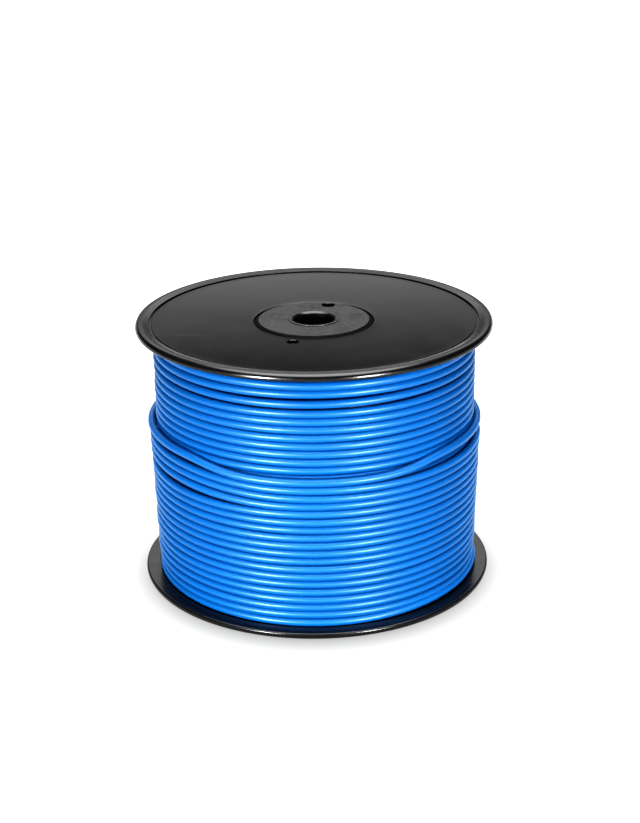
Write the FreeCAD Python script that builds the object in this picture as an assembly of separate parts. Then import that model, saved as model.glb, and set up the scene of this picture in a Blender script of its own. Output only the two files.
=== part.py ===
"""Wire spool: two flanges, a barrel, two hub plugs, an arbor tube and the wound wire.

Millimetres, +Z up along the spool's axis. The origin is the centre of the face that the spool
stands on, the outer face of the lower flange's rim.
"""
import FreeCAD, Part
import math
import os

# ---- driving dimensions -------------------------------------------------------------------
# spool, over everything
flange_diameter = 165.1
overall_height = 124.7

# flange: a thin web with a raised rim, and a thicker boss round the barrel's end
rim_height = 3.3
rim_width = 6.3
rim_rounding = 0.95
rim_outer_rounding = 2.2
rim_slope_width = 2.8
rim_slope_drop = 0.75
rim_groove_width = 1.1
rim_groove_depth = 0.5
web_recess = 1.05
web_dish = 1.05
web_thickness = 1.55
boss_overlap = 8.1
boss_thickness = 2.4
spigot_wall = 0.9
spigot_height = 8.0

# start hole, beside the barrel, for the wire's inner end
start_hole_diameter = 5.2
start_hole_angle = 253.4

# barrel
barrel_diameter = 61.0
barrel_wall = 1.65

# hub plug: its disc stands a little proud of the web's opening, with a sloping shoulder
hub_rise = 0.65
hub_plate = 2.4
hub_shoulder_width = 2.0
hub_shoulder_depth = 1.45
hub_skirt_wall = 1.8
hub_foot_height = 2.0
collar_rise = 0.3
collar_wall = 1.5
collar_rounding = 0.25
bore_diameter = 19.05
bore_chamfer = 0.8
bore_length = 12.0
socket_depth = 8.0
socket_wall = 2.0
drive_hole_diameter = 6.2
drive_hole_radius = 22.1
drive_hole_angle = 71.7

# arbor tube
arbor_tube_wall = 2.0
arbor_tube_relief = 0.4

# wire: insulated, stranded conductor
wire_diameter = 3.7
strand_diameter = 0.46
strand_rings = 2
strand_pitch = 1.02
strand_length = 6.0
strand_stub = 0.9
start_strand_stub = 0.3
start_end_depth = 1.3

# winding: how far the full layer's centre line stays inside the flange's edge at its top, the
# height where its taper ends, and how far the last layer stays inside the lower rim
fill_margin_top = 9.55
last_layer_gap = 0.2
taper_height = 77.1
last_layer_top = 78.9
last_layer_slack = 0.5
tail_from_angle = 96.0
tail_to_angle = 142.0
tail_straight = 16.0

# clearances
press_clearance = 0.05
slip_clearance = 0.1
winding_clearance = 0.1

# ---- sizes that follow --------------------------------------------------------------------
flange_radius = flange_diameter / 2
barrel_radius = barrel_diameter / 2
barrel_bore_radius = barrel_radius - barrel_wall
spigot_radius = barrel_bore_radius - slip_clearance
opening_radius = spigot_radius - spigot_wall
boss_radius = barrel_radius + boss_overlap
rim_inner_radius = flange_radius - rim_width
web_edge_radius = rim_inner_radius - rim_groove_width
web_inner_depth = web_recess + web_thickness
opening_depth = web_recess + web_dish
boss_inner_depth = opening_depth + boss_thickness
spigot_end_depth = boss_inner_depth + spigot_height
start_hole_radius = start_hole_diameter / 2
start_hole_place = barrel_radius + winding_clearance + start_hole_radius

hub_face_depth = opening_depth - hub_rise
skirt_radius = opening_radius - press_clearance
hub_disc_radius = skirt_radius - hub_shoulder_width
foot_top_depth = spigot_end_depth + press_clearance
foot_bottom_depth = foot_top_depth + hub_foot_height
foot_radius = barrel_bore_radius - slip_clearance
bore_radius = bore_diameter / 2
collar_radius = bore_radius + bore_chamfer + collar_wall
collar_depth = hub_face_depth - collar_rise
socket_top_depth = collar_depth + bore_length
tube_bore_radius = bore_radius + arbor_tube_relief
tube_radius = tube_bore_radius + arbor_tube_wall
socket_radius = tube_radius + press_clearance
socket_end_depth = socket_top_depth + socket_depth

wire_radius = wire_diameter / 2
conductor_radius = strand_diameter * (strand_rings * strand_pitch + 0.5)
insulation_bore_radius = conductor_radius + slip_clearance
visible_radius_top = flange_radius - fill_margin_top
nested_step = wire_diameter * math.cos(math.radians(30))
last_layer_build = nested_step + wire_radius + last_layer_slack
visible_radius_bottom = flange_radius - rim_width - last_layer_gap - last_layer_build
floor_top = web_inner_depth + winding_clearance
boss_top = boss_inner_depth + winding_clearance
layer_split = nested_step / 2


# ---- helpers ------------------------------------------------------------------------------
def point(radius, height):
    """A point of a half section: distance from the axis, and height."""
    return FreeCAD.Vector(radius, 0, height)


def spun(outline):
    """Solid of revolution about Z of a closed half section, given as points and arcs.

    An item of the outline is a point, or a pair (through, end) for an arc from the last point.
    """
    edges = []
    here = outline[0]
    for item in outline[1:] + [outline[0]]:
        if isinstance(item, tuple):
            edges.append(Part.Arc(here, item[0], item[1]).toShape())
            here = item[1]
        else:
            edges.append(Part.LineSegment(here, item).toShape())
            here = item
    face = Part.Face(Part.Wire(edges))
    return face.revolve(FreeCAD.Vector(0, 0, 0), FreeCAD.Vector(0, 0, 1), 360)


def rounded(corner, before, after, radius):
    """Quarter-round of an outline's square corner, as the start point and the arc after it."""
    to_before = (before - corner).normalize()
    to_after = (after - corner).normalize()
    start = corner + to_before * radius
    end = corner + to_after * radius
    centre = corner + (to_before + to_after) * radius
    through = centre + (corner - centre).normalize() * radius
    return start, (through, end)


def polar(radius, angle_deg, height=0.0):
    """Point at a distance from the axis, an angle from +X and a height."""
    angle = math.radians(angle_deg)
    return FreeCAD.Vector(radius * math.cos(angle), radius * math.sin(angle), height)


def turned_over(shape):
    """The same moulding at the lower end: the upper one turned half a turn about X."""
    lower = shape.copy()
    lower.rotate(FreeCAD.Vector(0, 0, overall_height / 2), FreeCAD.Vector(1, 0, 0), 180)
    return lower


def below_top(depth):
    """Height of a level that lies this far below the upper end."""
    return overall_height - depth


def web_depth(radius):
    """Depth of the web's outer face: a shallow bowl from its groove down to its opening."""
    bowl = 1 - (min(radius, web_edge_radius) / web_edge_radius) ** 2
    return web_recess + web_dish * bowl / (1 - (opening_radius / web_edge_radius) ** 2)


def floor_depth(radius):
    """Depth at which the winding stops, a clearance inside the web's inner face."""
    return web_depth(radius) + web_thickness + winding_clearance


# ---- spool --------------------------------------------------------------------------------
def make_flange():
    """Upper flange: web, raised rim with its groove, boss, spigot and start hole."""
    top = below_top(0)
    web_top = below_top(web_recess)
    web_bottom = below_top(web_inner_depth)
    boss_bottom = below_top(boss_inner_depth)
    rim_inner = rim_inner_radius
    groove_inner = web_edge_radius
    outer_middle = (opening_radius + groove_inner) / 2
    inner_middle = (boss_radius + groove_inner) / 2
    groove_bottom = below_top(web_recess + rim_groove_depth)
    rim_bottom = below_top(rim_height)
    upper_corner = rounded(
        point(flange_radius, top), point(rim_inner, top), point(flange_radius, rim_bottom),
        rim_outer_rounding)
    lower_corner = rounded(
        point(flange_radius, rim_bottom), point(flange_radius, top), point(rim_inner, rim_bottom),
        rim_rounding)
    outline = [
        point(opening_radius, below_top(opening_depth)),
        (point(outer_middle, below_top(web_depth(outer_middle))), point(groove_inner, web_top)),
        point(groove_inner, groove_bottom),
        point(rim_inner, groove_bottom),
        point(rim_inner, top - rim_slope_drop),
        point(rim_inner + rim_slope_width, top),
        upper_corner[0],
        upper_corner[1],
        lower_corner[0],
        lower_corner[1],
        point(rim_inner, rim_bottom),
        point(rim_inner, web_bottom),
        point(groove_inner, web_bottom),
        (point(inner_middle, below_top(web_depth(inner_middle) + web_thickness)),
         point(boss_radius, below_top(web_depth(boss_radius) + web_thickness))),
        point(boss_radius, boss_bottom),
        point(spigot_radius, boss_bottom),
        point(spigot_radius, below_top(spigot_end_depth)),
        point(opening_radius, below_top(spigot_end_depth)),
    ]
    flange = spun(outline)
    hole = Part.makeCylinder(
        start_hole_radius, overall_height, polar(start_hole_place, start_hole_angle, overall_height / 2))
    return flange.cut(hole)


def make_barrel():
    """Tube between the two flanges' bosses, over their spigots."""
    low = boss_inner_depth
    high = below_top(boss_inner_depth)
    return spun([
        point(barrel_bore_radius, low),
        point(barrel_radius, low),
        point(barrel_radius, high),
        point(barrel_bore_radius, high),
    ])


def make_hub():
    """Upper hub plug: recessed disc, collar and bore, skirt with its foot, socket, drive hole."""
    face = below_top(hub_face_depth)
    underside = below_top(hub_face_depth + hub_plate)
    shoulder = below_top(hub_face_depth + hub_shoulder_depth)
    collar_top = below_top(collar_depth)
    collar_corner = rounded(
        point(collar_radius, collar_top), point(bore_radius, collar_top), point(collar_radius, face),
        collar_rounding)
    outline = [
        point(bore_radius, collar_top - bore_chamfer),
        point(bore_radius + bore_chamfer, collar_top),
        collar_corner[0],
        collar_corner[1],
        point(collar_radius, face),
        point(hub_disc_radius, face),
        point(skirt_radius, shoulder),
        point(skirt_radius, below_top(foot_top_depth)),
        point(foot_radius, below_top(foot_top_depth)),
        point(foot_radius, below_top(foot_bottom_depth)),
        point(skirt_radius - hub_skirt_wall, below_top(foot_bottom_depth)),
        point(skirt_radius - hub_skirt_wall, underside),
        point(socket_radius + socket_wall, underside),
        point(socket_radius + socket_wall, below_top(socket_end_depth)),
        point(socket_radius, below_top(socket_end_depth)),
        point(socket_radius, below_top(socket_top_depth)),
        point(bore_radius, below_top(socket_top_depth)),
    ]
    hub = spun(outline)
    hole = Part.makeCylinder(
        drive_hole_diameter / 2, overall_height,
        polar(drive_hole_radius, drive_hole_angle, overall_height / 2))
    return hub.cut(hole)


def make_arbor_tube():
    """Tube whose ends stand in the two hubs' sockets."""
    low = socket_top_depth
    high = below_top(socket_top_depth)
    return spun([
        point(tube_bore_radius, low),
        point(tube_radius, low),
        point(tube_radius, high),
        point(tube_bore_radius, high),
    ])


# ---- winding ------------------------------------------------------------------------------
def visible_radius(height):
    """Centre-line radius of the full layer at a height: it narrows a little downwards."""
    share = min(height / taper_height, 1.0)
    return visible_radius_bottom + (visible_radius_top - visible_radius_bottom) * share


def make_inner_winding():
    """Hidden layers of wire, as one ring that steps round the flanges' bosses."""
    inner = barrel_radius + winding_clearance
    step = boss_radius + winding_clearance
    skin = wire_radius + winding_clearance
    low = visible_radius(floor_top) - skin
    high = visible_radius(overall_height) - skin
    low_middle = (step + low) / 2
    high_middle = (step + high) / 2
    return spun([
        point(inner, boss_top),
        point(step, boss_top),
        point(step, floor_depth(step)),
        (point(low_middle, floor_depth(low_middle)), point(low, floor_depth(low))),
        point(visible_radius(taper_height) - skin, taper_height),
        point(high, below_top(floor_depth(high))),
        (point(high_middle, below_top(floor_depth(high_middle))), point(step, below_top(floor_depth(step)))),
        point(step, below_top(boss_top)),
        point(inner, below_top(boss_top)),
    ])


def make_full_layer():
    """Outer shape of the last complete layer."""
    low = visible_radius(floor_top)
    high = visible_radius(overall_height)
    return spun([
        point(low - wire_radius, floor_depth(low - wire_radius)),
        point(low + layer_split, floor_depth(low + layer_split)),
        point(visible_radius(taper_height) + layer_split, taper_height),
        point(high + layer_split, below_top(floor_depth(high + layer_split))),
        point(high - wire_radius, below_top(floor_depth(high - wire_radius))),
        point(visible_radius(taper_height) - wire_radius, taper_height),
    ])


def last_layer_radius(height):
    """Outer radius of the part layer, loose turns included."""
    return visible_radius(height) + last_layer_build


def make_last_layer():
    """Outer shape of the part layer over the lower end of the full one."""
    skin = layer_split + winding_clearance / 2
    low = visible_radius(floor_top) + skin
    return spun([
        point(low, floor_depth(low)),
        point(last_layer_radius(floor_top), floor_top),
        point(last_layer_radius(taper_height), taper_height),
        point(last_layer_radius(last_layer_top), last_layer_top),
        point(visible_radius(last_layer_top) + skin, last_layer_top),
        point(visible_radius(taper_height) + skin, taper_height),
    ])


def tail_line():
    """Centre-line radius and height of the wire's free end, and where its straight run starts."""
    radius = visible_radius(last_layer_top) + layer_split + winding_clearance + wire_radius
    height = last_layer_top + wire_radius
    start = polar(radius, tail_to_angle, height)
    along = polar(1.0, tail_to_angle + 90)
    return radius, height, start, along


def strand_bundle(base, along, length):
    """Bare strands of the conductor: one in the middle and rings of six and twelve round it."""
    across = along.cross(FreeCAD.Vector(0, 0, 1))
    if across.Length < 0.5:
        across = FreeCAD.Vector(1, 0, 0)
    across.normalize()
    upward = across.cross(along)
    strands = [Part.makeCylinder(strand_diameter / 2, length, base, along)]
    for ring in range(1, strand_rings + 1):
        count = 6 * ring
        ring_radius = strand_diameter * strand_pitch * ring
        for number in range(count):
            turn = 2 * math.pi * number / count
            offset = across * (ring_radius * math.cos(turn)) + upward * (ring_radius * math.sin(turn))
            strands.append(Part.makeCylinder(strand_diameter / 2, length, base + offset, along))
    return Part.Compound(strands)


def make_wire_end():
    """Free outer end: an arc along the winding and a straight run, hollow where the strands lie."""
    radius, height, start, along = tail_line()
    ring = Part.Face(Part.Wire(Part.makeCircle(wire_radius, point(radius, height), FreeCAD.Vector(0, 1, 0))))
    arc = ring.revolve(
        FreeCAD.Vector(0, 0, 0), FreeCAD.Vector(0, 0, 1), tail_to_angle - tail_from_angle)
    arc.rotate(FreeCAD.Vector(0, 0, 0), FreeCAD.Vector(0, 0, 1), tail_from_angle)
    straight = Part.makeCylinder(wire_radius, tail_straight, start, along)
    hollow = Part.makeCylinder(
        insulation_bore_radius, strand_length, start + along * (tail_straight - strand_length), along)
    return arc.fuse(straight).removeSplitter().cut(hollow)


def make_end_strands():
    """Strands of the outer end, from inside the insulation to a little past its cut."""
    start, along = tail_line()[2:]
    return strand_bundle(start + along * (tail_straight - strand_length), along, strand_length + strand_stub)


def start_point():
    """Where the wire's inner end rises from the winding into the start hole."""
    return polar(start_hole_place, start_hole_angle, below_top(boss_top))


def make_wire_start():
    """Insulation of the inner end, cut short inside the start hole."""
    length = boss_top - web_depth(start_hole_place) - start_end_depth
    up = FreeCAD.Vector(0, 0, 1)
    outside = Part.makeCylinder(wire_radius, length, start_point(), up)
    return outside.cut(Part.makeCylinder(insulation_bore_radius, length, start_point(), up))


def make_start_strands():
    """Strands of the inner end."""
    length = boss_top - web_depth(start_hole_place) - start_end_depth + start_strand_stub
    return strand_bundle(start_point(), FreeCAD.Vector(0, 0, 1), length)


# ---- assembly -----------------------------------------------------------------------------
def main():
    """Build every node and write one STEP file each."""
    flange = make_flange()
    hub = make_hub()
    nodes = {
        "upper_flange": flange,
        "lower_flange": turned_over(flange),
        "barrel": make_barrel(),
        "upper_hub": hub,
        "lower_hub": turned_over(hub),
        "arbor_tube": make_arbor_tube(),
        "inner_winding": make_inner_winding(),
        "full_layer": make_full_layer(),
        "last_layer": make_last_layer(),
        "wire_start": make_wire_start(),
        "start_strands": make_start_strands(),
        "wire_end": make_wire_end(),
        "end_strands": make_end_strands(),
    }
    os.makedirs("parts", exist_ok=True)
    for name, shape in nodes.items():
        shape.exportStep("parts/" + name + ".step")
        box = shape.BoundBox
        print(name, "valid", shape.isValid(), "solids", len(shape.Solids), "volume", round(shape.Volume, 1),
              "box", [round(v, 2) for v in (box.XMin, box.YMin, box.ZMin, box.XMax, box.YMax, box.ZMax)])
    radius, height, start, along = tail_line()
    print("wire end: arc radius", round(radius, 2), "height", round(height, 2))


main()
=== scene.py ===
"""Wire spool: a black moulded spool, wound nearly full with blue plastic-insulated copper wire.

Everything is in metres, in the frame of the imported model: +Z up along the spool's axis, with the
origin at the centre of the rim face that the spool stands on. The angles go counter-clockwise from
+X, seen from above, in degrees.
"""

import logging
import math
import random
from dataclasses import dataclass, field
from enum import Enum
from typing import Optional

import bmesh
import bpy
from mathutils import Matrix, Vector


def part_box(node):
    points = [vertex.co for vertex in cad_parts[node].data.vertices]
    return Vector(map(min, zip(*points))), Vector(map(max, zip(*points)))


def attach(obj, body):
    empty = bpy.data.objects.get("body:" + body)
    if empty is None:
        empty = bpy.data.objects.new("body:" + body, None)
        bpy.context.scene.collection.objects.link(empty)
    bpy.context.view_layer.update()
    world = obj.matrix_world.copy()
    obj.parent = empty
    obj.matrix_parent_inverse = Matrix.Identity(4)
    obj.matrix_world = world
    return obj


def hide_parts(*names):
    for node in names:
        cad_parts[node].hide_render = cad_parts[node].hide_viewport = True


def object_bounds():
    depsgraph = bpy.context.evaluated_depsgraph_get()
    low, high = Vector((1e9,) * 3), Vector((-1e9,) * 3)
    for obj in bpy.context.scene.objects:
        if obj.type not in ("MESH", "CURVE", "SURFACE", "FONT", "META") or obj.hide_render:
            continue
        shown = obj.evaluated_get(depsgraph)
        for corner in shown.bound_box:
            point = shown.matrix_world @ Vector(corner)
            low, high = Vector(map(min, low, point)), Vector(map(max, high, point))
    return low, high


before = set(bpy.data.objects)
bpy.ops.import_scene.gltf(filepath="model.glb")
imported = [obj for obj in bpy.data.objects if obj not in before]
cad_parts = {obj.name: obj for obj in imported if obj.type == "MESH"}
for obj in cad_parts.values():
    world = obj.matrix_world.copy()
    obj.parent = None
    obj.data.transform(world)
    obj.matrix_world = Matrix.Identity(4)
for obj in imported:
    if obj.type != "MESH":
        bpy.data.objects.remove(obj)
cad_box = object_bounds()

log = logging.getLogger("wire_spool")

MM = 0.001
BODY = "root"
HEIGHT = cad_box[1].z
FLANGE_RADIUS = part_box("upper_flange")[1].x
WIRE_DIAMETER = 3.7 * MM
SAME_PLACE = 0.001 * MM
FRONT, LEFT = 270.0, 180.0

Point2 = tuple[float, float]


# ---- small tools ----------------------------------------------------------------------------
def linear(hex_colour: str) -> tuple[float, float, float, float]:
    """Turn an sRGB hex colour into the linear colour that a shader takes.

    Args:
        hex_colour: The colour as "#rrggbb".

    Returns:
        Linear red, green and blue, and an alpha of 1.
    """
    channels = [int(hex_colour[i:i + 2], 16) / 255 for i in (1, 3, 5)]
    red, green, blue = (c / 12.92 if c <= 0.04045 else ((c + 0.055) / 1.055) ** 2.4 for c in channels)
    return red, green, blue, 1.0


def add_node(tree: bpy.types.NodeTree, kind: str, links: Optional[dict] = None,
             **settings: object) -> bpy.types.Node:
    """Add one shader node, set its options and input values, and link its inputs.

    Args:
        tree: The node tree that the node joins.
        kind: Blender's name of the node type.
        links: Input socket, by name or number, to an output socket or a plain value.
        **settings: Attributes of the node itself.

    Returns:
        The new node.
    """
    node = tree.nodes.new(kind)
    for name, value in settings.items():
        setattr(node, name, value)
    for key, value in (links or {}).items():
        socket = node.inputs[key]
        if isinstance(value, bpy.types.NodeSocket):
            tree.links.new(value, socket)
        else:
            socket.default_value = value
    return node


def new_material(name: str) -> tuple[bpy.types.Material, bpy.types.NodeTree, bpy.types.Node]:
    """Start a material.

    Args:
        name: The material's name.

    Returns:
        The material, its node tree and its main shader.
    """
    made = bpy.data.materials.new(name)
    made.use_nodes = True
    return made, made.node_tree, made.node_tree.nodes["Principled BSDF"]


def smooth(share: float) -> float:
    """Ease a share from 0 to 1, flat at both ends and held outside them."""
    held = min(max(share, 0.0), 1.0)
    return held * held * (3 - 2 * held)


def hump(angle: float, middle: float, top: float, foot: float) -> float:
    """Height of a smooth hump with a flat top, on a circle.

    Args:
        angle: Where on the circle, in degrees.
        middle: The hump's middle.
        top: How far its flat top reaches each way.
        foot: How far the whole hump reaches each way.

    Returns:
        1 on the top, falling to 0 at the foot.
    """
    away = abs((angle - middle + 180) % 360 - 180)
    return smooth((foot - away) / (foot - top))


def clear_selection() -> None:
    """Leave edit mode and deselect everything."""
    if bpy.context.mode != "OBJECT":
        bpy.ops.object.mode_set(mode="OBJECT")
    bpy.ops.object.select_all(action="DESELECT")


# ---- modelling by hand ------------------------------------------------------------------------
class Workpiece:
    """A mesh that is shaped step by step in edit mode, from one round bar."""

    def __init__(self, name: str, radius: float, low: float, high: float, sides: int,
                 axis: Point2 = (0.0, 0.0)) -> None:
        """Cut the bar to length and stand it up.

        Args:
            name: The piece's name.
            radius: The bar's radius.
            low: Height of its lower face.
            high: Height of its upper face.
            sides: How many flats make up the round.
            axis: Where its axis stands.
        """
        clear_selection()
        bpy.ops.mesh.primitive_cylinder_add(
            vertices=sides, radius=radius, depth=high - low, location=(*axis, (low + high) / 2))
        self.piece = bpy.context.object
        self.piece.name = name
        self.piece.data.name = name
        self.axis = axis
        bpy.ops.object.transform_apply(location=True, rotation=True, scale=True)

    def edit(self, mode: str) -> bmesh.types.BMesh:
        """Enter edit mode with nothing selected.

        Args:
            mode: What is picked: "VERT", "EDGE" or "FACE".

        Returns:
            The mesh that is being edited.
        """
        if bpy.context.mode != "EDIT_MESH":
            bpy.context.view_layer.objects.active = self.piece
            self.piece.select_set(True)
            bpy.ops.object.mode_set(mode="EDIT")
        bpy.ops.mesh.select_mode(type=mode)
        bpy.ops.mesh.select_all(action="DESELECT")
        return bmesh.from_edit_mesh(self.piece.data)

    def pick_cap(self, height: float) -> None:
        """Select the face that closes the piece at a height."""
        mesh = self.edit("FACE")
        caps = [f for f in mesh.faces
                if len(f.verts) > 4 and abs(f.calc_center_median().z - height) < SAME_PLACE]
        caps[0].select_set(True)
        mesh.faces.active = caps[0]
        bmesh.update_edit_mesh(self.piece.data)

    def draw_in(self, width: float, rise: float = 0.0) -> None:
        """Inset the selected face by a width, and lift it by a rise."""
        bpy.ops.mesh.inset(thickness=width, depth=0.0, use_even_offset=True)
        bpy.ops.transform.translate(value=(0, 0, rise))

    def push(self, distance: float) -> None:
        """Extrude the selected face up, or down where the distance is negative."""
        bpy.ops.mesh.extrude_region_move(TRANSFORM_OT_translate={"value": (0, 0, distance)})

    def follow(self, section: list[Point2]) -> None:
        """Carry the selected face inwards along a half section, ring by ring.

        Args:
            section: Distances from the axis and heights, from where the face's edge is now.
        """
        for (radius, height), (next_radius, next_height) in zip(section, section[1:]):
            if radius - next_radius < SAME_PLACE:
                self.push(next_height - height)
            else:
                self.draw_in(radius - next_radius, next_height - height)

    def taper(self, distance: float, factor: float) -> None:
        """Extrude the selected face up or down and scale it about the bar's axis."""
        self.push(distance)
        bpy.ops.transform.resize(value=(factor, factor, 1), center_override=(*self.axis, 0))

    def open_cap(self) -> None:
        """Delete the selected face, and leave its edge open."""
        bpy.ops.mesh.delete(type="ONLY_FACE")

    def join_openings(self) -> None:
        """Bridge the piece's two open edges with a wall."""
        mesh = self.edit("EDGE")
        for edge in mesh.edges:
            edge.select_set(edge.is_boundary)
        bmesh.update_edit_mesh(self.piece.data)
        bpy.ops.mesh.bridge_edge_loops()

    def round_over(self, radius: float, height: float, rounding: float, steps: int,
                   reach: float = 0.02 * MM) -> None:
        """Round one circular edge.

        Args:
            radius: The edge's distance from the axis.
            height: The edge's height.
            rounding: The radius of the new round.
            steps: How many facets it has.
            reach: How near a point has to be to belong to the edge.
        """
        mesh = self.edit("EDGE")
        middle = Vector((*self.axis, 0))
        for edge in mesh.edges:
            edge.select_set(all(
                abs((v.co - middle).xy.length - radius) < reach and abs(v.co.z - height) < reach
                for v in edge.verts))
        bmesh.update_edit_mesh(self.piece.data)
        bpy.ops.mesh.bevel(
            offset=rounding, offset_type="OFFSET", segments=steps, profile=0.5, affect="EDGES")

    def drill(self, tool: "Workpiece") -> None:
        """Cut a tool's shape out of the piece, and throw the tool away.

        Args:
            tool: The closed shape that is taken away.
        """
        clear_selection()
        bpy.context.view_layer.objects.active = self.piece
        cut = self.piece.modifiers.new("drill", "BOOLEAN")
        cut.operation = "DIFFERENCE"
        cut.solver = "EXACT"
        cut.object = tool.piece
        bpy.ops.object.modifier_apply(modifier=cut.name)
        bpy.data.objects.remove(tool.piece)

    def finish(self, crease_angle: float = 32.0) -> bpy.types.Object:
        """Merge doubles, turn the faces outwards and smooth the shading.

        Args:
            crease_angle: Faces that meet at more than this angle keep a sharp edge, in degrees.

        Returns:
            The finished object.
        """
        self.edit("VERT")
        bpy.ops.mesh.select_all(action="SELECT")
        bpy.ops.mesh.remove_doubles(threshold=2 * SAME_PLACE)
        bpy.ops.mesh.normals_make_consistent(inside=False)
        clear_selection()
        self.piece.select_set(True)
        bpy.context.view_layer.objects.active = self.piece
        bpy.ops.object.shade_smooth_by_angle(angle=math.radians(crease_angle))
        even = self.piece.modifiers.new("even_shading", "WEIGHTED_NORMAL")
        even.keep_sharp = True
        bpy.ops.object.modifier_apply(modifier=even.name)
        return self.piece


def turned_over(piece: bpy.types.Object, name: str) -> bpy.types.Object:
    """Copy an upper-end piece to the lower end, turned half a turn about X.

    Args:
        piece: The finished upper piece.
        name: The copy's name.

    Returns:
        The copy, with a mesh of its own.
    """
    copy = piece.copy()
    copy.data = piece.data.copy()
    copy.name = name
    copy.data.name = name
    bpy.context.scene.collection.objects.link(copy)
    middle = Matrix.Translation((0, 0, HEIGHT / 2))
    copy.data.transform(middle @ Matrix.Rotation(math.pi, 4, "X") @ middle.inverted())
    return copy


# ---- finishes -------------------------------------------------------------------------------
@dataclass(frozen=True)
class MouldedPolystyrene:
    """Black injection-moulded polystyrene: near-black body, satin skin, cloudy flow marks."""

    name: str
    body: str = "#0e0e0f"
    cloud: str = "#151516"
    roughness: float = 0.34
    roughness_swing: float = 0.08
    cloud_size: float = 16 * MM
    # the tool's spark grain is about 0.1 mm, drawn coarser so that it shows
    grain_size: float = 0.5 * MM
    grain_depth: float = 0.012 * MM
    specular: float = 0.5
    scuff_colour: Optional[str] = None

    def material(self) -> bpy.types.Material:
        """Build the material.

        Returns:
            The material, with its patterns on Object coordinates.
        """
        made, tree, shader = new_material(self.name)
        where = add_node(tree, "ShaderNodeTexCoord").outputs["Object"]
        cloud = add_node(tree, "ShaderNodeTexNoise", {
            "Vector": where, "Scale": 1 / self.cloud_size, "Detail": 5.0, "Roughness": 0.62,
            "Distortion": 0.9})
        colour = add_node(tree, "ShaderNodeMix", {
            0: cloud.outputs["Fac"], 6: linear(self.body), 7: linear(self.cloud)},
            data_type="RGBA").outputs[2]
        rough = add_node(tree, "ShaderNodeMapRange", {
            "Value": cloud.outputs["Fac"], "From Min": 0.3, "From Max": 0.7,
            "To Min": self.roughness - self.roughness_swing,
            "To Max": self.roughness + self.roughness_swing}).outputs["Result"]
        if self.scuff_colour:
            colour = add_node(tree, "ShaderNodeMix", {
                0: self.scuffs(tree, where), 6: colour, 7: linear(self.scuff_colour)},
                data_type="RGBA").outputs[2]
        tree.links.new(colour, shader.inputs["Base Color"])
        tree.links.new(rough, shader.inputs["Roughness"])
        grain = add_node(tree, "ShaderNodeTexNoise", {
            "Vector": where, "Scale": 1 / self.grain_size, "Detail": 3.0})
        bump = add_node(tree, "ShaderNodeBump", {
            "Height": grain.outputs["Fac"], "Distance": self.grain_depth, "Strength": 1.0})
        tree.links.new(bump.outputs["Normal"], shader.inputs["Normal"])
        shader.inputs["IOR"].default_value = 1.5
        shader.inputs["Specular IOR Level"].default_value = self.specular
        return made

    def scuffs(self, tree: bpy.types.NodeTree, where: bpy.types.NodeSocket) -> bpy.types.NodeSocket:
        """Thin handling scratches that lie here and there over the face.

        Args:
            tree: The material's node tree.
            where: The coordinates.

        Returns:
            A mask that is small and mostly 0.
        """
        # streaks about 50 mm long and 3 mm apart, kept to patches some 40 mm wide
        along = add_node(tree, "ShaderNodeMapping", {
            "Vector": where, "Rotation": (0, 0, math.radians(-8)), "Scale": (18, 300, 1)})
        streak = add_node(tree, "ShaderNodeTexNoise", {
            "Vector": along.outputs["Vector"], "Scale": 1.0, "Detail": 2.0})
        patch = add_node(tree, "ShaderNodeTexNoise", {"Vector": where, "Scale": 26.0, "Detail": 1.0})
        both = add_node(tree, "ShaderNodeMath", {
            0: streak.outputs["Fac"], 1: patch.outputs["Fac"]}, operation="MULTIPLY")
        return add_node(tree, "ShaderNodeMapRange", {
            "Value": both.outputs[0], "From Min": 0.38, "From Max": 0.5, "To Min": 0.0,
            "To Max": 0.35}).outputs["Result"]


@dataclass(frozen=True)
class ExtrudedPvc:
    """Extruded PVC insulation: saturated azure and glossy, with a faint ripple from the strands."""

    name: str = "blue_extruded_pvc"
    body: str = "#035e97"
    shade: str = "#02558b"
    roughness: float = 0.4
    roughness_swing: float = 0.06
    # the colour drifts over some 30 mm; the strands' lay shows as ripples about 2 mm long
    drift: float = 30 * MM
    ripple: float = 2.2 * MM
    ripple_depth: float = 0.02 * MM

    def material(self) -> bpy.types.Material:
        """Build the material.

        Returns:
            The material, with its patterns on Object coordinates.
        """
        made, tree, shader = new_material(self.name)
        where = add_node(tree, "ShaderNodeTexCoord").outputs["Object"]
        drift = add_node(tree, "ShaderNodeTexNoise", {
            "Vector": where, "Scale": 1 / self.drift, "Detail": 2.0})
        body = add_node(tree, "ShaderNodeMix", {
            0: drift.outputs["Fac"], 6: linear(self.body), 7: linear(self.shade)}, data_type="RGBA")
        tree.links.new(body.outputs[2], shader.inputs["Base Color"])
        gloss = add_node(tree, "ShaderNodeMapRange", {
            "Value": drift.outputs["Fac"], "To Min": self.roughness - self.roughness_swing,
            "To Max": self.roughness + self.roughness_swing})
        tree.links.new(gloss.outputs["Result"], shader.inputs["Roughness"])
        skin = add_node(tree, "ShaderNodeTexNoise", {
            "Vector": where, "Scale": 1 / self.ripple, "Detail": 2.0})
        bump = add_node(tree, "ShaderNodeBump", {
            "Height": skin.outputs["Fac"], "Distance": self.ripple_depth, "Strength": 1.0})
        tree.links.new(bump.outputs["Normal"], shader.inputs["Normal"])
        shader.inputs["IOR"].default_value = 1.53
        return made


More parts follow.
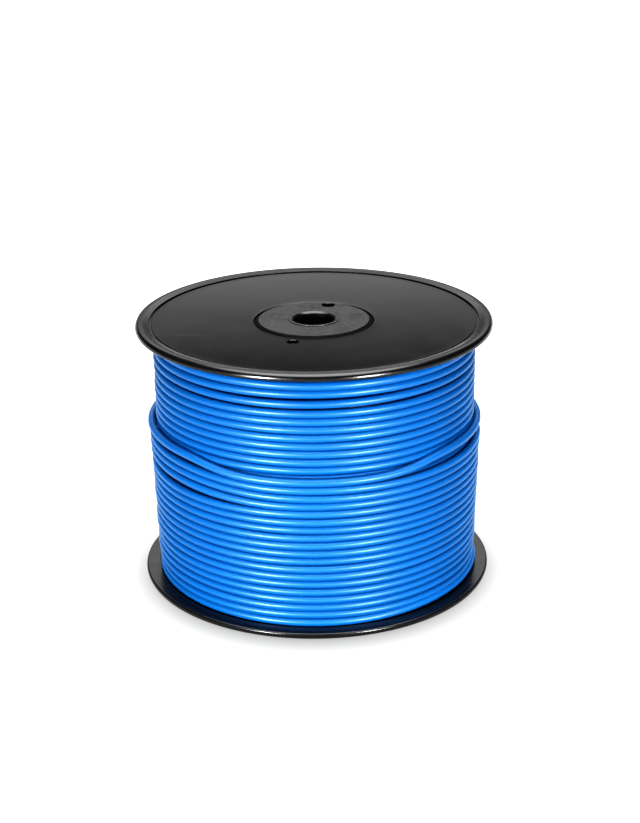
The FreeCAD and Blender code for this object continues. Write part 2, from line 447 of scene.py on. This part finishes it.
@dataclass(frozen=True)
class PackedWire:
    """The same insulation, lying in the dark below the visible layer: ridged turn by turn, with painted
    shade in the grooves.
    """

    name: str = "packed_blue_wire"
    body: str = "#0060d0"
    painted_groove_shade: str = "#00103c"
    pitch: float = 3.77 * MM
    ridge: float = 1.0 * MM
    roughness: float = 0.35

    def material(self) -> bpy.types.Material:
        """Build the material.

        Returns:
            The material, ridged along Z in Object coordinates.
        """
        made, tree, shader = new_material(self.name)
        where = add_node(tree, "ShaderNodeTexCoord").outputs["Object"]
        # a wave texture of scale 1 repeats every 0.314 m
        ridges = add_node(tree, "ShaderNodeTexWave", {
            "Vector": where, "Scale": 0.314 / self.pitch, "Distortion": 0.0},
            wave_type="BANDS", bands_direction="Z", wave_profile="SIN")
        # painted shade: the grooves between turns are coloured near-black, where shade falls between the
        # round wires
        colour = add_node(tree, "ShaderNodeMix", {
            0: ridges.outputs["Fac"], 6: linear(self.painted_groove_shade), 7: linear(self.body)}, data_type="RGBA")
        tree.links.new(colour.outputs[2], shader.inputs["Base Color"])
        bump = add_node(tree, "ShaderNodeBump", {
            "Height": ridges.outputs["Fac"], "Distance": self.ridge, "Strength": 1.0})
        tree.links.new(bump.outputs["Normal"], shader.inputs["Normal"])
        shader.inputs["Roughness"].default_value = self.roughness
        return made


@dataclass(frozen=True)
class DrawnCopper:
    """Soft drawn copper: warm bare metal, bright where it was cut and a little dulled elsewhere."""

    name: str = "drawn_copper"
    bright: str = "#e8a07c"
    dull: str = "#b06c4a"
    cut_roughness: float = 0.22
    dull_roughness: float = 0.42
    patch: float = 0.6 * MM

    def material(self) -> bpy.types.Material:
        """Build the material.

        Returns:
            The material, with its patterns on Object coordinates.
        """
        made, tree, shader = new_material(self.name)
        where = add_node(tree, "ShaderNodeTexCoord").outputs["Object"]
        tarnish = add_node(tree, "ShaderNodeTexNoise", {
            "Vector": where, "Scale": 1 / self.patch, "Detail": 3.0})
        colour = add_node(tree, "ShaderNodeMix", {
            0: tarnish.outputs["Fac"], 6: linear(self.bright), 7: linear(self.dull)}, data_type="RGBA")
        tree.links.new(colour.outputs[2], shader.inputs["Base Color"])
        gloss = add_node(tree, "ShaderNodeMapRange", {
            "Value": tarnish.outputs["Fac"], "To Min": self.cut_roughness,
            "To Max": self.dull_roughness})
        tree.links.new(gloss.outputs["Result"], shader.inputs["Roughness"])
        shader.inputs["Metallic"].default_value = 1.0
        return made


# ---- the camera -----------------------------------------------------------------------------
@dataclass
class ProductCamera:
    """A camera on a tripod in front of the spool, a little above it."""

    place: tuple[float, float, float] = (0.0, -0.74708, 0.36143)
    tilt_down: float = 20.83
    roll: float = -0.77
    lens: float = 74.01
    shift_x: float = 0.00595

    def build(self) -> bpy.types.Object:
        """Set up the camera and make it the scene's camera.

        Returns:
            The camera.
        """
        data = bpy.data.cameras.new("product_camera")
        data.lens = self.lens
        data.sensor_width = 36.0
        data.sensor_fit = "AUTO"
        data.shift_x = self.shift_x
        data.clip_start, data.clip_end = 0.01, 60.0
        camera = bpy.data.objects.new("product_camera", data)
        bpy.context.scene.collection.objects.link(camera)
        aim = (Matrix.Rotation(math.radians(90 - self.tilt_down), 4, "X")
               @ Matrix.Rotation(math.radians(self.roll), 4, "Z"))
        camera.matrix_world = Matrix.Translation(self.place) @ aim
        bpy.context.scene.camera = camera
        return camera


# ---- the winding ----------------------------------------------------------------------------
@dataclass
class Winding:
    """The visible wire: the last full layer, wound down, then a part layer, wound back up."""

    points_per_turn: int = 24
    full_turns: int = 31
    last_turns: int = 19
    radius_bottom: float = 70.5 * MM
    radius_top: float = 73.0 * MM
    taper_height: float = 77.1 * MM
    full_first: float = 120.05 * MM
    full_last: float = 6.4 * MM
    loose_after: tuple[int, ...] = (3, 4)
    loose_gap: float = 0.65 * MM
    last_first: float = 4.58 * MM
    last_pitch: float = 3.805 * MM
    nested: float = 3.2 * MM
    crossing: tuple[float, float] = (60.0, 120.0)
    crossing_lift: float = 0.5 * MM
    wobble: float = 0.13 * MM
    # the part layer's unevenness is the same waves, this many turns further on
    last_phase: float = 50.0
    tuck: float = 1.8 * MM
    tail_radius: float = 76.55 * MM
    tail_height: float = 80.75 * MM
    tail_angle: float = 142.0
    tail_straight: float = 16.0 * MM
    end_rise: float = 4.0 * MM
    foot_bulge: Point2 = (1.1 * MM, 1.2 * MM)
    side_slack: float = 0.6 * MM
    round_slack: float = 0.2 * MM
    sag: float = 1.9 * MM
    sag_growth: float = 0.15 * MM
    slack_turns: int = 3
    length: float = 23.2
    seed: int = 12
    waves: list[tuple[float, float, float]] = field(default_factory=list)

    def full_heights(self) -> list[float]:
        """Height of each turn of the full layer at the front, from the top down."""
        spare = self.loose_gap * len(self.loose_after)
        pitch = (self.full_first - self.full_last - spare) / (self.full_turns - 1)
        heights = [self.full_first]
        for turn in range(1, self.full_turns + 1):
            gap = self.loose_gap if turn in self.loose_after else 0.0
            heights.append(heights[-1] - pitch - gap)
        heights[-1] = self.last_first
        return heights

    def layer_radius(self, height: float) -> float:
        """Centre-line radius of the full layer at a height."""
        share = min(height / self.taper_height, 1.0)
        return self.radius_bottom + (self.radius_top - self.radius_bottom) * share

    def looseness(self, turn: float) -> tuple[float, float]:
        """Small unevenness of hand-fed winding, smooth along the wire.

        Args:
            turn: How many turns have gone before, with the share of this one.

        Returns:
            Change of radius and of height.
        """
        out = lift = 0.0
        for size, rate, phase in self.waves:
            out += size * math.sin(rate * turn * math.tau + phase)
            lift += size * math.cos(rate * turn * math.tau * 0.83 + 2 * phase)
        return out * self.wobble, lift * self.wobble * 0.6

    def step_share(self, angle: float) -> float:
        """How far the wire has stepped to its next turn, at an angle from the crossing's end on."""
        start = self.crossing[0] + 360
        return smooth((angle - start) / (self.crossing[1] - self.crossing[0]))

    def full_layer_points(self) -> list[Vector]:
        """Control points of the full layer, from the start under the upper flange down."""
        heights = self.full_heights()
        points = []
        for turn in range(self.full_turns):
            for step in range(self.points_per_turn):
                angle = self.crossing[1] + 360 * step / self.points_per_turn
                share = self.step_share(angle)
                height = heights[turn] + (heights[turn + 1] - heights[turn]) * share
                out, lift = self.looseness(turn + step / self.points_per_turn)
                radius = self.layer_radius(height) + out * 0.5
                if turn == 0:
                    radius -= self.tuck * (1 - smooth(step / 3))
                    lift = 0.0
                if turn == self.full_turns - 1:
                    radius += self.nested * share
                    lift = 0.0
                points.append(self.on_circle(radius, angle, height + lift))
        return points

    def last_layer_points(self) -> list[Vector]:
        """Control points of the part layer, from the lower flange up."""
        points = []
        last = self.last_turns - 1
        for turn in range(self.last_turns):
            base = self.last_first + self.last_pitch * turn
            for step in range(self.points_per_turn):
                angle = self.crossing[1] + 360 * step / self.points_per_turn
                share = self.step_share(angle)
                if turn == last and share > 0:
                    break
                height = base + self.last_pitch * share
                out, lift = self.looseness(self.last_phase + turn + step / self.points_per_turn)
                radius = self.layer_radius(height) + self.nested + out
                radius += self.crossing_lift * hump(angle, 90, 10, 45)
                radius_change, lift_change = self.slack(turn, angle)
                if turn == 0:
                    lift = max(lift, 0.0)
                points.append(self.on_circle(radius + radius_change, angle, height + lift + lift_change))
        return points

    def slack(self, turn: int, angle: float) -> tuple[float, float]:
        """Where the outermost turns stand off the others, because nothing ties them.

        Args:
            turn: The turn of the part layer, from 0.
            angle: The angle.

        Returns:
            Change of radius and of height.
        """
        last = self.last_turns - 1
        if turn == 0:
            bulge = hump(angle, 340, 20, 55)
            return self.foot_bulge[0] * bulge, self.foot_bulge[1] * bulge
        if turn == last:
            free = 1 - hump(angle, FRONT, 26, 44)
            side = self.side_slack * hump(angle, LEFT, 30, 80)
            return side + self.round_slack * free, self.end_rise * free * smooth((angle - 118) / 40)
        above = turn - (last - self.slack_turns)
        if above >= 0:
            loose = hump(angle, LEFT, 35, 76)
            return self.round_slack * loose, (self.sag + self.sag_growth * above) * loose
        return 0.0, 0.0

    def tail_points(self) -> list[Vector]:
        """Control points of the free end, up from the last turn to the straight, cut end."""
        rise = self.last_first + self.last_pitch * (self.last_turns - 1) + self.end_rise
        points = []
        for angle, share in ((75, 0.35), (88, 0.8), (100, 1.0), (113, 1.0), (127, 1.0),
                             (self.tail_angle, 1.0)):
            height = rise + (self.tail_height - rise) * share
            points.append(self.on_circle(self.tail_radius, angle, height))
        turn_off = math.radians(self.tail_angle)
        start = Vector((math.cos(turn_off), math.sin(turn_off), 0)) * self.tail_radius
        along = Vector((-math.sin(turn_off), math.cos(turn_off), 0))
        for run in (0.35, 0.7, 1.0):
            point = start + along * self.tail_straight * run
            points.append(Vector((point.x, point.y, self.tail_height)))
        return points

    def on_circle(self, radius: float, angle: float, height: float) -> Vector:
        """A control point, set out so that the curve between such points has the radius itself."""
        turn = math.radians(angle)
        far = radius / math.cos(math.pi / self.points_per_turn)
        return Vector((far * math.cos(turn), far * math.sin(turn), height))

    def build(self) -> bpy.types.Object:
        """Lay the whole visible wire as one smooth curve.

        Returns:
            The wire.
        """
        chance = random.Random(self.seed)
        self.waves = [(chance.uniform(0.5, 1), chance.uniform(1.2, 5), chance.uniform(0, math.tau))
                      for _ in range(4)]
        points = self.full_layer_points() + self.last_layer_points() + self.tail_points()
        curve = bpy.data.curves.new("blue_wire", "CURVE")
        curve.dimensions = "3D"
        curve.bevel_depth = WIRE_DIAMETER / 2
        curve.bevel_resolution = 5
        curve.resolution_u = 3
        curve.use_fill_caps = True
        spline = curve.splines.new("NURBS")
        spline.points.add(len(points) - 1)
        for place, point in zip(spline.points, points):
            place.co = (*point, 1.0)
        spline.order_u = 3
        spline.use_endpoint_u = True
        spline.use_smooth = True
        wire = bpy.data.objects.new("blue_wire", curve)
        bpy.context.scene.collection.objects.link(wire)
        wire["start"] = list(points[0])
        return wire

    def dress(self, wire: bpy.types.Object, finish: ExtrudedPvc) -> None:
        """Give the wire its finish and its place in the frame, and hide the modelled wire nodes."""
        wire.data.materials.append(finish.material())
        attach(wire, BODY)
        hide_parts("full_layer", "last_layer", "wire_end")


# ---- the spool ------------------------------------------------------------------------------
class End(Enum):
    """The spool's two ends, which carry the same mouldings."""

    UPPER = "upper"
    LOWER = "lower"


@dataclass
class Flange:
    """A shallow dished web with a raised rim, a boss, and a spigot that enters the barrel."""

    sides: int = 384
    rim_height: float = 3.3 * MM
    rim_width: float = 6.3 * MM
    rim_rounding: float = 0.95 * MM
    rim_outer_rounding: float = 2.2 * MM
    rim_slope_width: float = 2.8 * MM
    rim_slope_drop: float = 0.75 * MM
    groove_width: float = 1.1 * MM
    groove_depth: float = 0.5 * MM
    web_recess: float = 1.05 * MM
    web_dish: float = 1.05 * MM
    web_thickness: float = 1.55 * MM
    web_rings: int = 12
    boss_radius: float = 38.6 * MM
    boss_thickness: float = 2.4 * MM
    spigot_radius: float = 28.75 * MM
    spigot_wall: float = 0.9 * MM
    spigot_height: float = 8.0 * MM
    start_hole_radius: float = 2.6 * MM
    start_hole_place: float = 33.2 * MM
    start_hole_angle: float = 253.4
    flare: float = 0.25 * MM
    edge_rounding: float = 0.2 * MM
    opening_rounding: float = 0.25 * MM
    drill_reach: float = 6.0 * MM
    web_finish: MouldedPolystyrene = MouldedPolystyrene(
        "satin_black_web", roughness=0.11, roughness_swing=0.03, cloud_size=40 * MM,
        grain_depth=0.002 * MM, scuff_colour="#3c3c3d")
    rim_finish: MouldedPolystyrene = MouldedPolystyrene(
        "polished_black_rim", roughness=0.24, roughness_swing=0.04, grain_depth=0.004 * MM)

    def __post_init__(self) -> None:
        """Work out the radii that follow from the sizes."""
        self.rim_inner = FLANGE_RADIUS - self.rim_width
        self.web_edge = self.rim_inner - self.groove_width
        self.opening = self.spigot_radius - self.spigot_wall

    def web_height(self, radius: float) -> float:
        """Height of the upper web's outer face: a shallow bowl from its groove to its opening."""
        bowl = 1 - (min(radius, self.web_edge) / self.web_edge) ** 2
        share = bowl / (1 - (self.opening / self.web_edge) ** 2)
        return HEIGHT - self.web_recess - self.web_dish * share

    def bowl_section(self, outside: float, inside: float, below: float) -> list[Point2]:
        """Half section of the bowl between two radii, or of a surface parallel to it.

        Args:
            outside: Where it starts.
            inside: Where it ends.
            below: How far below the web's outer face it lies.

        Returns:
            Distances from the axis and heights.
        """
        radii = [outside + (inside - outside) * ring / self.web_rings for ring in range(self.web_rings + 1)]
        return [(radius, self.web_height(radius) - below) for radius in radii]

    def rim_slope_section(self, steps: int = 4) -> list[Point2]:
        """Half section of the rim's inner slope, eased where it meets the rim's top."""
        slope = self.rim_slope_drop / self.rim_slope_width
        ease = 0.4 * self.rim_slope_width
        start = self.rim_inner + self.rim_slope_width + ease / 2
        section = []
        for step in range(steps + 1):
            run = ease * step / steps
            section.append((start - run, HEIGHT - slope * run * run / (2 * ease)))
        return section + [(self.rim_inner, HEIGHT - self.rim_slope_drop)]

    def build(self) -> bpy.types.Object:
        """Model the upper flange from a disc as thick as its rim.

        Returns:
            The flange, rounded and drilled.
        """
        top, under = HEIGHT, HEIGHT - self.rim_height
        floor = self.web_height(self.web_edge) - self.groove_depth
        work = Workpiece("flange_upper", FLANGE_RADIUS, under, top, self.sides)
        work.pick_cap(top)
        work.follow([(FLANGE_RADIUS, top)] + self.rim_slope_section() + [(self.rim_inner, floor)])
        work.follow([(self.rim_inner, floor), (self.web_edge, floor)]
                    + self.bowl_section(self.web_edge, self.opening, 0.0))
        work.open_cap()
        work.pick_cap(under)
        inner = self.bowl_section(self.web_edge, self.boss_radius, self.web_thickness)
        boss = self.web_height(self.opening) - self.boss_thickness
        work.follow([(FLANGE_RADIUS, under), (self.rim_inner, under), (self.rim_inner, inner[0][1])] + inner
                    + [(self.boss_radius, boss), (self.spigot_radius, boss)]
                    + [(self.spigot_radius, boss - self.spigot_height),
                       (self.opening, boss - self.spigot_height)])
        work.open_cap()
        work.join_openings()
        work.round_over(FLANGE_RADIUS, top, self.rim_outer_rounding, 9)
        work.round_over(FLANGE_RADIUS, under, self.rim_rounding, 7)
        work.round_over(self.web_edge, self.web_height(self.web_edge), self.edge_rounding, 3)
        work.round_over(self.opening, self.web_height(self.opening), self.opening_rounding, 3)
        work.drill(self.start_hole_tool(self.web_height(self.start_hole_place)))
        piece = work.finish()
        for face in piece.data.polygons:
            face.material_index = int(face.center.xy.length > self.web_edge + self.groove_width / 4)
        return piece

    def start_hole_tool(self, web_top: float) -> Workpiece:
        """Shape the drill for the start hole, flared at its mouth.

        Args:
            web_top: Height of the web's outer face.

        Returns:
            The tool.
        """
        angle = math.radians(self.start_hole_angle)
        axis = (self.start_hole_place * math.cos(angle), self.start_hole_place * math.sin(angle))
        tool = Workpiece("start_hole_tool", self.start_hole_radius, web_top - self.drill_reach,
                         web_top - self.flare, 64, axis)
        tool.pick_cap(web_top - self.flare)
        tool.taper(3 * self.flare, (self.start_hole_radius + 3 * self.flare) / self.start_hole_radius)
        return tool

    def dress(self, piece: bpy.types.Object, end: End) -> None:
        """Give a flange its finishes and its place in the frame."""
        piece.data.materials.append(self.web_finish.material())
        piece.data.materials.append(self.rim_finish.material())
        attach(piece, BODY)
        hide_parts(end.value + "_flange")


@dataclass
class Hub:
    """A hub disc that stands a little proud of the web, with its collar, bore and skirt."""

    sides: int = 192
    face_depth: float = 1.45 * MM
    disc_radius: float = 25.8 * MM
    shoulder_depth: float = 1.45 * MM
    skirt_radius: float = 27.8 * MM
    skirt_wall: float = 1.8 * MM
    foot_radius: float = 28.75 * MM
    foot_top_depth: float = 12.55 * MM
    foot_height: float = 2.0 * MM
    plate: float = 2.4 * MM
    socket_radius: float = 11.975 * MM
    socket_wall: float = 2.0 * MM
    socket_top_depth: float = 13.15 * MM
    socket_depth: float = 8.0 * MM
    collar_radius: float = 11.825 * MM
    collar_depth: float = 1.15 * MM
    collar_rounding: float = 0.25 * MM
    disc_rounding: float = 0.3 * MM
    mouth_rounding: float = 0.12 * MM
    bore_radius: float = 9.525 * MM
    bore_chamfer: float = 0.8 * MM
    drive_hole_radius: float = 3.1 * MM
    drive_hole_place: float = 22.1 * MM
    drive_hole_angle: float = 71.7
    drive_hole_flare: float = 0.2 * MM
    finish: MouldedPolystyrene = MouldedPolystyrene(
        "satin_black_hub", body="#161617", cloud="#232324", roughness=0.27, roughness_swing=0.12,
        cloud_size=9 * MM, grain_depth=0.008 * MM)
    # painted shade: the hub's rounded edge and skirt take a darker, duller black that stands in for the
    # shade in the gap round the hub disc
    painted_shade_edge_finish: MouldedPolystyrene = MouldedPolystyrene(
        "matt_black_hub_edge_painted_shade", body="#0a0a0b", cloud="#111112", roughness=0.75, roughness_swing=0.1,
        specular=0.15, grain_depth=0.008 * MM)

    def build(self) -> bpy.types.Object:
        """Model the upper hub from a bar as wide as its skirt.

        Returns:
            The hub, rounded and drilled.
        """
        face = HEIGHT - self.face_depth
        shoulder = face - self.shoulder_depth
        foot_top = HEIGHT - self.foot_top_depth
        foot_bottom = foot_top - self.foot_height
        collar_top = HEIGHT - self.collar_depth
        mouth = self.bore_radius + self.bore_chamfer
        socket_top = HEIGHT - self.socket_top_depth
        boss = self.socket_radius + self.socket_wall
        work = Workpiece("hub_upper", self.skirt_radius, foot_top, shoulder, self.sides)
        work.pick_cap(shoulder)
        work.follow([(self.skirt_radius, shoulder), (self.disc_radius, face), (self.collar_radius, face),
                     (self.collar_radius, collar_top), (mouth, collar_top),
                     (self.bore_radius, collar_top - self.bore_chamfer), (self.bore_radius, socket_top)])
        work.open_cap()
        work.pick_cap(foot_top)
        work.taper(0.0, self.foot_radius / self.skirt_radius)
        skirt_inside = self.skirt_radius - self.skirt_wall
        socket_end = socket_top - self.socket_depth
        work.follow([(self.foot_radius, foot_top), (self.foot_radius, foot_bottom),
                     (skirt_inside, foot_bottom), (skirt_inside, face - self.plate),
                     (boss, face - self.plate), (boss, socket_end), (self.socket_radius, socket_end),
                     (self.socket_radius, socket_top), (self.bore_radius, socket_top)])
        work.open_cap()
        work.round_over(self.collar_radius, collar_top, self.collar_rounding, 4)
        work.round_over(self.disc_radius, face, self.disc_rounding, 4)
        work.round_over(mouth, collar_top, self.mouth_rounding, 2)
        work.drill(self.drive_hole_tool(face))
        piece = work.finish()
        # the faces round the hub disc's edge take the darker finish, the painted shade
        for side in piece.data.polygons:
            side.material_index = int(side.center.xy.length > self.disc_radius - self.disc_rounding / 3)
        return piece

    def drive_hole_tool(self, face: float) -> Workpiece:
        """Shape the drill for the drive hole, flared at its mouth.

        Args:
            face: Height of the hub disc's face.

        Returns:
            The tool.
        """
        angle = math.radians(self.drive_hole_angle)
        axis = (self.drive_hole_place * math.cos(angle), self.drive_hole_place * math.sin(angle))
        flare = self.drive_hole_flare
        tool = Workpiece("drive_hole_tool", self.drive_hole_radius, face - 2 * self.plate,
                         face - flare, 64, axis)
        tool.pick_cap(face - flare)
        tool.taper(2 * flare, (self.drive_hole_radius + 2 * flare) / self.drive_hole_radius)
        return tool

    def dress(self, piece: bpy.types.Object, end: End) -> None:
        """Give a hub its finishes and its place in the frame."""
        piece.data.materials.append(self.finish.material())
        piece.data.materials.append(self.painted_shade_edge_finish.material())
        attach(piece, BODY)
        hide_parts(end.value + "_hub")


@dataclass
class HiddenParts:
    """The modelled nodes that stay as they are and only take a finish."""

    core_finish: MouldedPolystyrene = MouldedPolystyrene("satin_black_core", roughness=0.42)
    packed_finish: PackedWire = PackedWire()
    copper: DrawnCopper = DrawnCopper()
    # the inner end has been open to the air the longest
    old_copper: DrawnCopper = DrawnCopper("tarnished_copper", bright="#4a3226", dull="#251812")

    def dress(self, insulation: ExtrudedPvc) -> None:
        """Give each remaining node the finish of what it is.

        Args:
            insulation: The finish of the wire's plastic.
        """
        core = self.core_finish.material()
        finishes = {
            "barrel": core, "arbor_tube": core, "inner_winding": self.packed_finish.material(),
            "wire_start": insulation.material(), "start_strands": self.old_copper.material(),
            "end_strands": self.copper.material()}
        for name, material in finishes.items():
            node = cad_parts[name]
            node.data.materials.clear()
            node.data.materials.append(material)
            log.info("%s: %s", name, material.name)


# ---- the studio -----------------------------------------------------------------------------
@dataclass
class Studio:
    """A white table with a ring of painted shade, two tall softboxes, panels above and behind, and graded
    surroundings.
    """

    floor_radius: float = 9.0
    floor_colour: str = "#404040"
    floor_glow: float = 0.97
    # painted shadow: the floor's glow drops this low in a ring round the spool's foot
    painted_shade_glow: float = 0.05
    painted_shade_radius: float = 60 * MM
    painted_shade_end: float = 112 * MM
    painted_shade_forward: float = 5 * MM
    softbox_angle: float = 32.0
    softbox_distance: float = 1.1
    softbox_size: Point2 = (0.2, 0.3)
    softbox_height: float = 0.16
    softbox_power: tuple[float, float] = (16.0, 14.0)
    overhead_size: float = 0.9
    overhead_height: float = 1.3
    overhead_forward: float = 0.2
    overhead_power: float = 0.8
    back_size: float = 0.7
    back_place: Point2 = (1.1, 0.4)
    back_power: float = 9.0
    ambient: float = 0.03
    front_dark: float = 0.04

    def build(self) -> None:
        """Set up the floor, the surroundings and the lights."""
        bpy.context.scene.view_settings.view_transform = "Standard"
        bpy.context.scene.view_settings.look = "Very High Contrast"
        self.build_floor()
        self.build_surround()
        for side, power in zip((-1, 1), self.softbox_power):
            turn = math.radians(FRONT + side * self.softbox_angle)
            place = Vector((math.cos(turn), math.sin(turn), 0)) * self.softbox_distance
            place.z = self.softbox_height
            self.add_panel("softbox_left" if side < 0 else "softbox_right", place, self.softbox_size, power)
        self.add_panel("overhead_panel", Vector((0, -self.overhead_forward, self.overhead_height)),
                       (self.overhead_size, self.overhead_size), self.overhead_power)
        # it fills in the side away from the camera, and leaves no highlight of its own
        fill = self.add_panel("back_panel", Vector((0, *self.back_place)),
                              (self.back_size, self.back_size), self.back_power)
        fill.visible_glossy = False

    def add_panel(self, name: str, place: Vector, size: Point2, power: float) -> bpy.types.Object:
        """Hang one soft light panel that faces the spool.

        Args:
            name: The light's name.
            place: Its middle.
            size: Its width and height.
            power: Its power in watts.

        Returns:
            The light.
        """
        data = bpy.data.lights.new(name, "AREA")
        data.shape = "RECTANGLE"
        data.size, data.size_y = size
        data.energy = power
        lamp = bpy.data.objects.new(name, data)
        bpy.context.scene.collection.objects.link(lamp)
        lamp.location = place
        aim = Vector((0, 0, 0.06)) - place
        lamp.rotation_euler = aim.to_track_quat("-Z", "Y").to_euler()
        return lamp

    def build_floor(self) -> None:
        """Lay the white table top, a wide disc that glows bright all over but for a soft ring of painted
        shade.
        """
        clear_selection()
        bpy.ops.mesh.primitive_circle_add(vertices=96, radius=self.floor_radius, fill_type="NGON")
        floor = bpy.context.object
        floor.name = "white_table"
        made, tree, shader = new_material("matt_white_paper_painted_shade")
        where = add_node(tree, "ShaderNodeTexCoord").outputs["Object"]
        # the painted shade fades out some 15 mm past the rim, which is 82.5 mm out, and 20 mm at the front
        shifted = add_node(tree, "ShaderNodeVectorMath", {
            0: where, 1: (0, self.painted_shade_forward, 0)}, operation="ADD")
        away = add_node(tree, "ShaderNodeVectorMath", {0: shifted.outputs["Vector"]}, operation="LENGTH")
        # painted shade: the glow falls from the table's full brightness to a dark ring round the spool
        glow = add_node(tree, "ShaderNodeMapRange", {
            "Value": away.outputs["Value"], "From Min": self.painted_shade_radius, "From Max": self.painted_shade_end,
            "To Min": self.painted_shade_glow, "To Max": self.floor_glow})
        shader.inputs["Base Color"].default_value = linear(self.floor_colour)
        shader.inputs["Roughness"].default_value = 0.8
        shader.inputs["Specular IOR Level"].default_value = 0.0
        shader.inputs["Emission Color"].default_value = (1, 1, 1, 1)
        tree.links.new(glow.outputs["Result"], shader.inputs["Emission Strength"])
        # light that bounces off the table leaves its glow out, or the spool's underside would shine
        dim = add_node(tree, "ShaderNodeBsdfDiffuse", {"Color": linear(self.floor_colour)})
        bounced = add_node(tree, "ShaderNodeLightPath").outputs["Is Diffuse Ray"]
        mixed = add_node(tree, "ShaderNodeMixShader", {
            0: bounced, 1: shader.outputs["BSDF"], 2: dim.outputs["BSDF"]})
        tree.links.new(mixed.outputs[0], tree.nodes["Material Output"].inputs["Surface"])
        floor.data.materials.append(made)

    def build_surround(self) -> None:
        """Surround the set with graded light: dim in front, a window behind, bright above."""
        world = bpy.data.worlds.new("studio")
        bpy.context.scene.world = world
        world.use_nodes = True
        tree = world.node_tree
        background = tree.nodes["Background"]
        direction = add_node(tree, "ShaderNodeTexCoord").outputs["Generated"]
        split = add_node(tree, "ShaderNodeSeparateXYZ", {"Vector": direction})
        ramp = add_node(tree, "ShaderNodeValToRGB", {"Fac": split.outputs["Z"]})
        # the stops are sines of the elevation, the greys are the light from there
        stops = ((0.0, 0.9), (0.08, 0.9), (0.14, 0.02), (0.25, 0.03), (0.29, 0.2), (0.33, 0.65),
                 (0.37, 1.1), (0.45, 1.4), (0.76, 1.0), (0.88, 6.0), (1.0, 6.0))
        for (place, grey), point in zip(stops, self.ramp_points(ramp, len(stops))):
            point.position = place
            point.color = (grey, grey, grey, 1)
        aside = add_node(tree, "ShaderNodeMath", {0: split.outputs["X"]}, operation="ABSOLUTE")
        middle = add_node(tree, "ShaderNodeMapRange", {
            "Value": aside.outputs[0], "From Min": 0.55, "From Max": 0.3}, interpolation_type="SMOOTHSTEP")
        back = add_node(tree, "ShaderNodeMapRange", {
            "Value": split.outputs["Y"], "From Min": 0.0, "From Max": 0.25},
            interpolation_type="SMOOTHSTEP")
        behind = add_node(tree, "ShaderNodeMath", {
            0: middle.outputs["Result"], 1: back.outputs["Result"]}, operation="MULTIPLY")
        above = add_node(tree, "ShaderNodeMapRange", {
            "Value": split.outputs["Z"], "From Min": 0.76, "From Max": 0.9},
            interpolation_type="SMOOTHSTEP")
        seen = add_node(tree, "ShaderNodeMath", {
            0: behind.outputs[0], 1: above.outputs["Result"]}, operation="MAXIMUM")
        glossy = add_node(tree, "ShaderNodeMix", {
            0: seen.outputs[0], 2: self.front_dark, 3: ramp.outputs["Color"]})
        path = add_node(tree, "ShaderNodeLightPath")
        soft = add_node(tree, "ShaderNodeMix", {
            0: path.outputs["Is Diffuse Ray"], 2: glossy.outputs[0], 3: self.ambient})
        strength = add_node(tree, "ShaderNodeMix", {
            0: path.outputs["Is Camera Ray"], 2: soft.outputs[0], 3: 1.0})
        background.inputs["Color"].default_value = (1, 1, 1, 1)
        tree.links.new(strength.outputs[0], background.inputs["Strength"])

    def ramp_points(self, ramp: bpy.types.Node, count: int) -> list[bpy.types.ColorRampElement]:
        """Give a colour ramp a number of points, and return them."""
        points = ramp.color_ramp.elements
        while len(points) < count:
            points.new(len(points) / count)
        return list(points)


def main() -> None:
    """Build the set and the spool, piece by piece."""
    logging.basicConfig(level=logging.INFO, format="%(message)s")
    camera = ProductCamera().build()
    log.info("%s: lens %.1f mm", camera.name, camera.data.lens)

    insulation = ExtrudedPvc()
    winding = Winding()
    wire = winding.build()
    winding.dress(wire, insulation)
    log.info("%s: %d control points", wire.name, len(wire.data.splines[0].points))

    for design in (Flange(), Hub()):
        upper = design.build()
        lower = turned_over(upper, upper.name.replace("upper", "lower"))
        for piece, end in ((upper, End.UPPER), (lower, End.LOWER)):
            design.dress(piece, end)
            log.info("%s: %d faces", piece.name, len(piece.data.polygons))

    HiddenParts().dress(insulation)
    Studio().build()


if __name__ == "__main__":
    main()
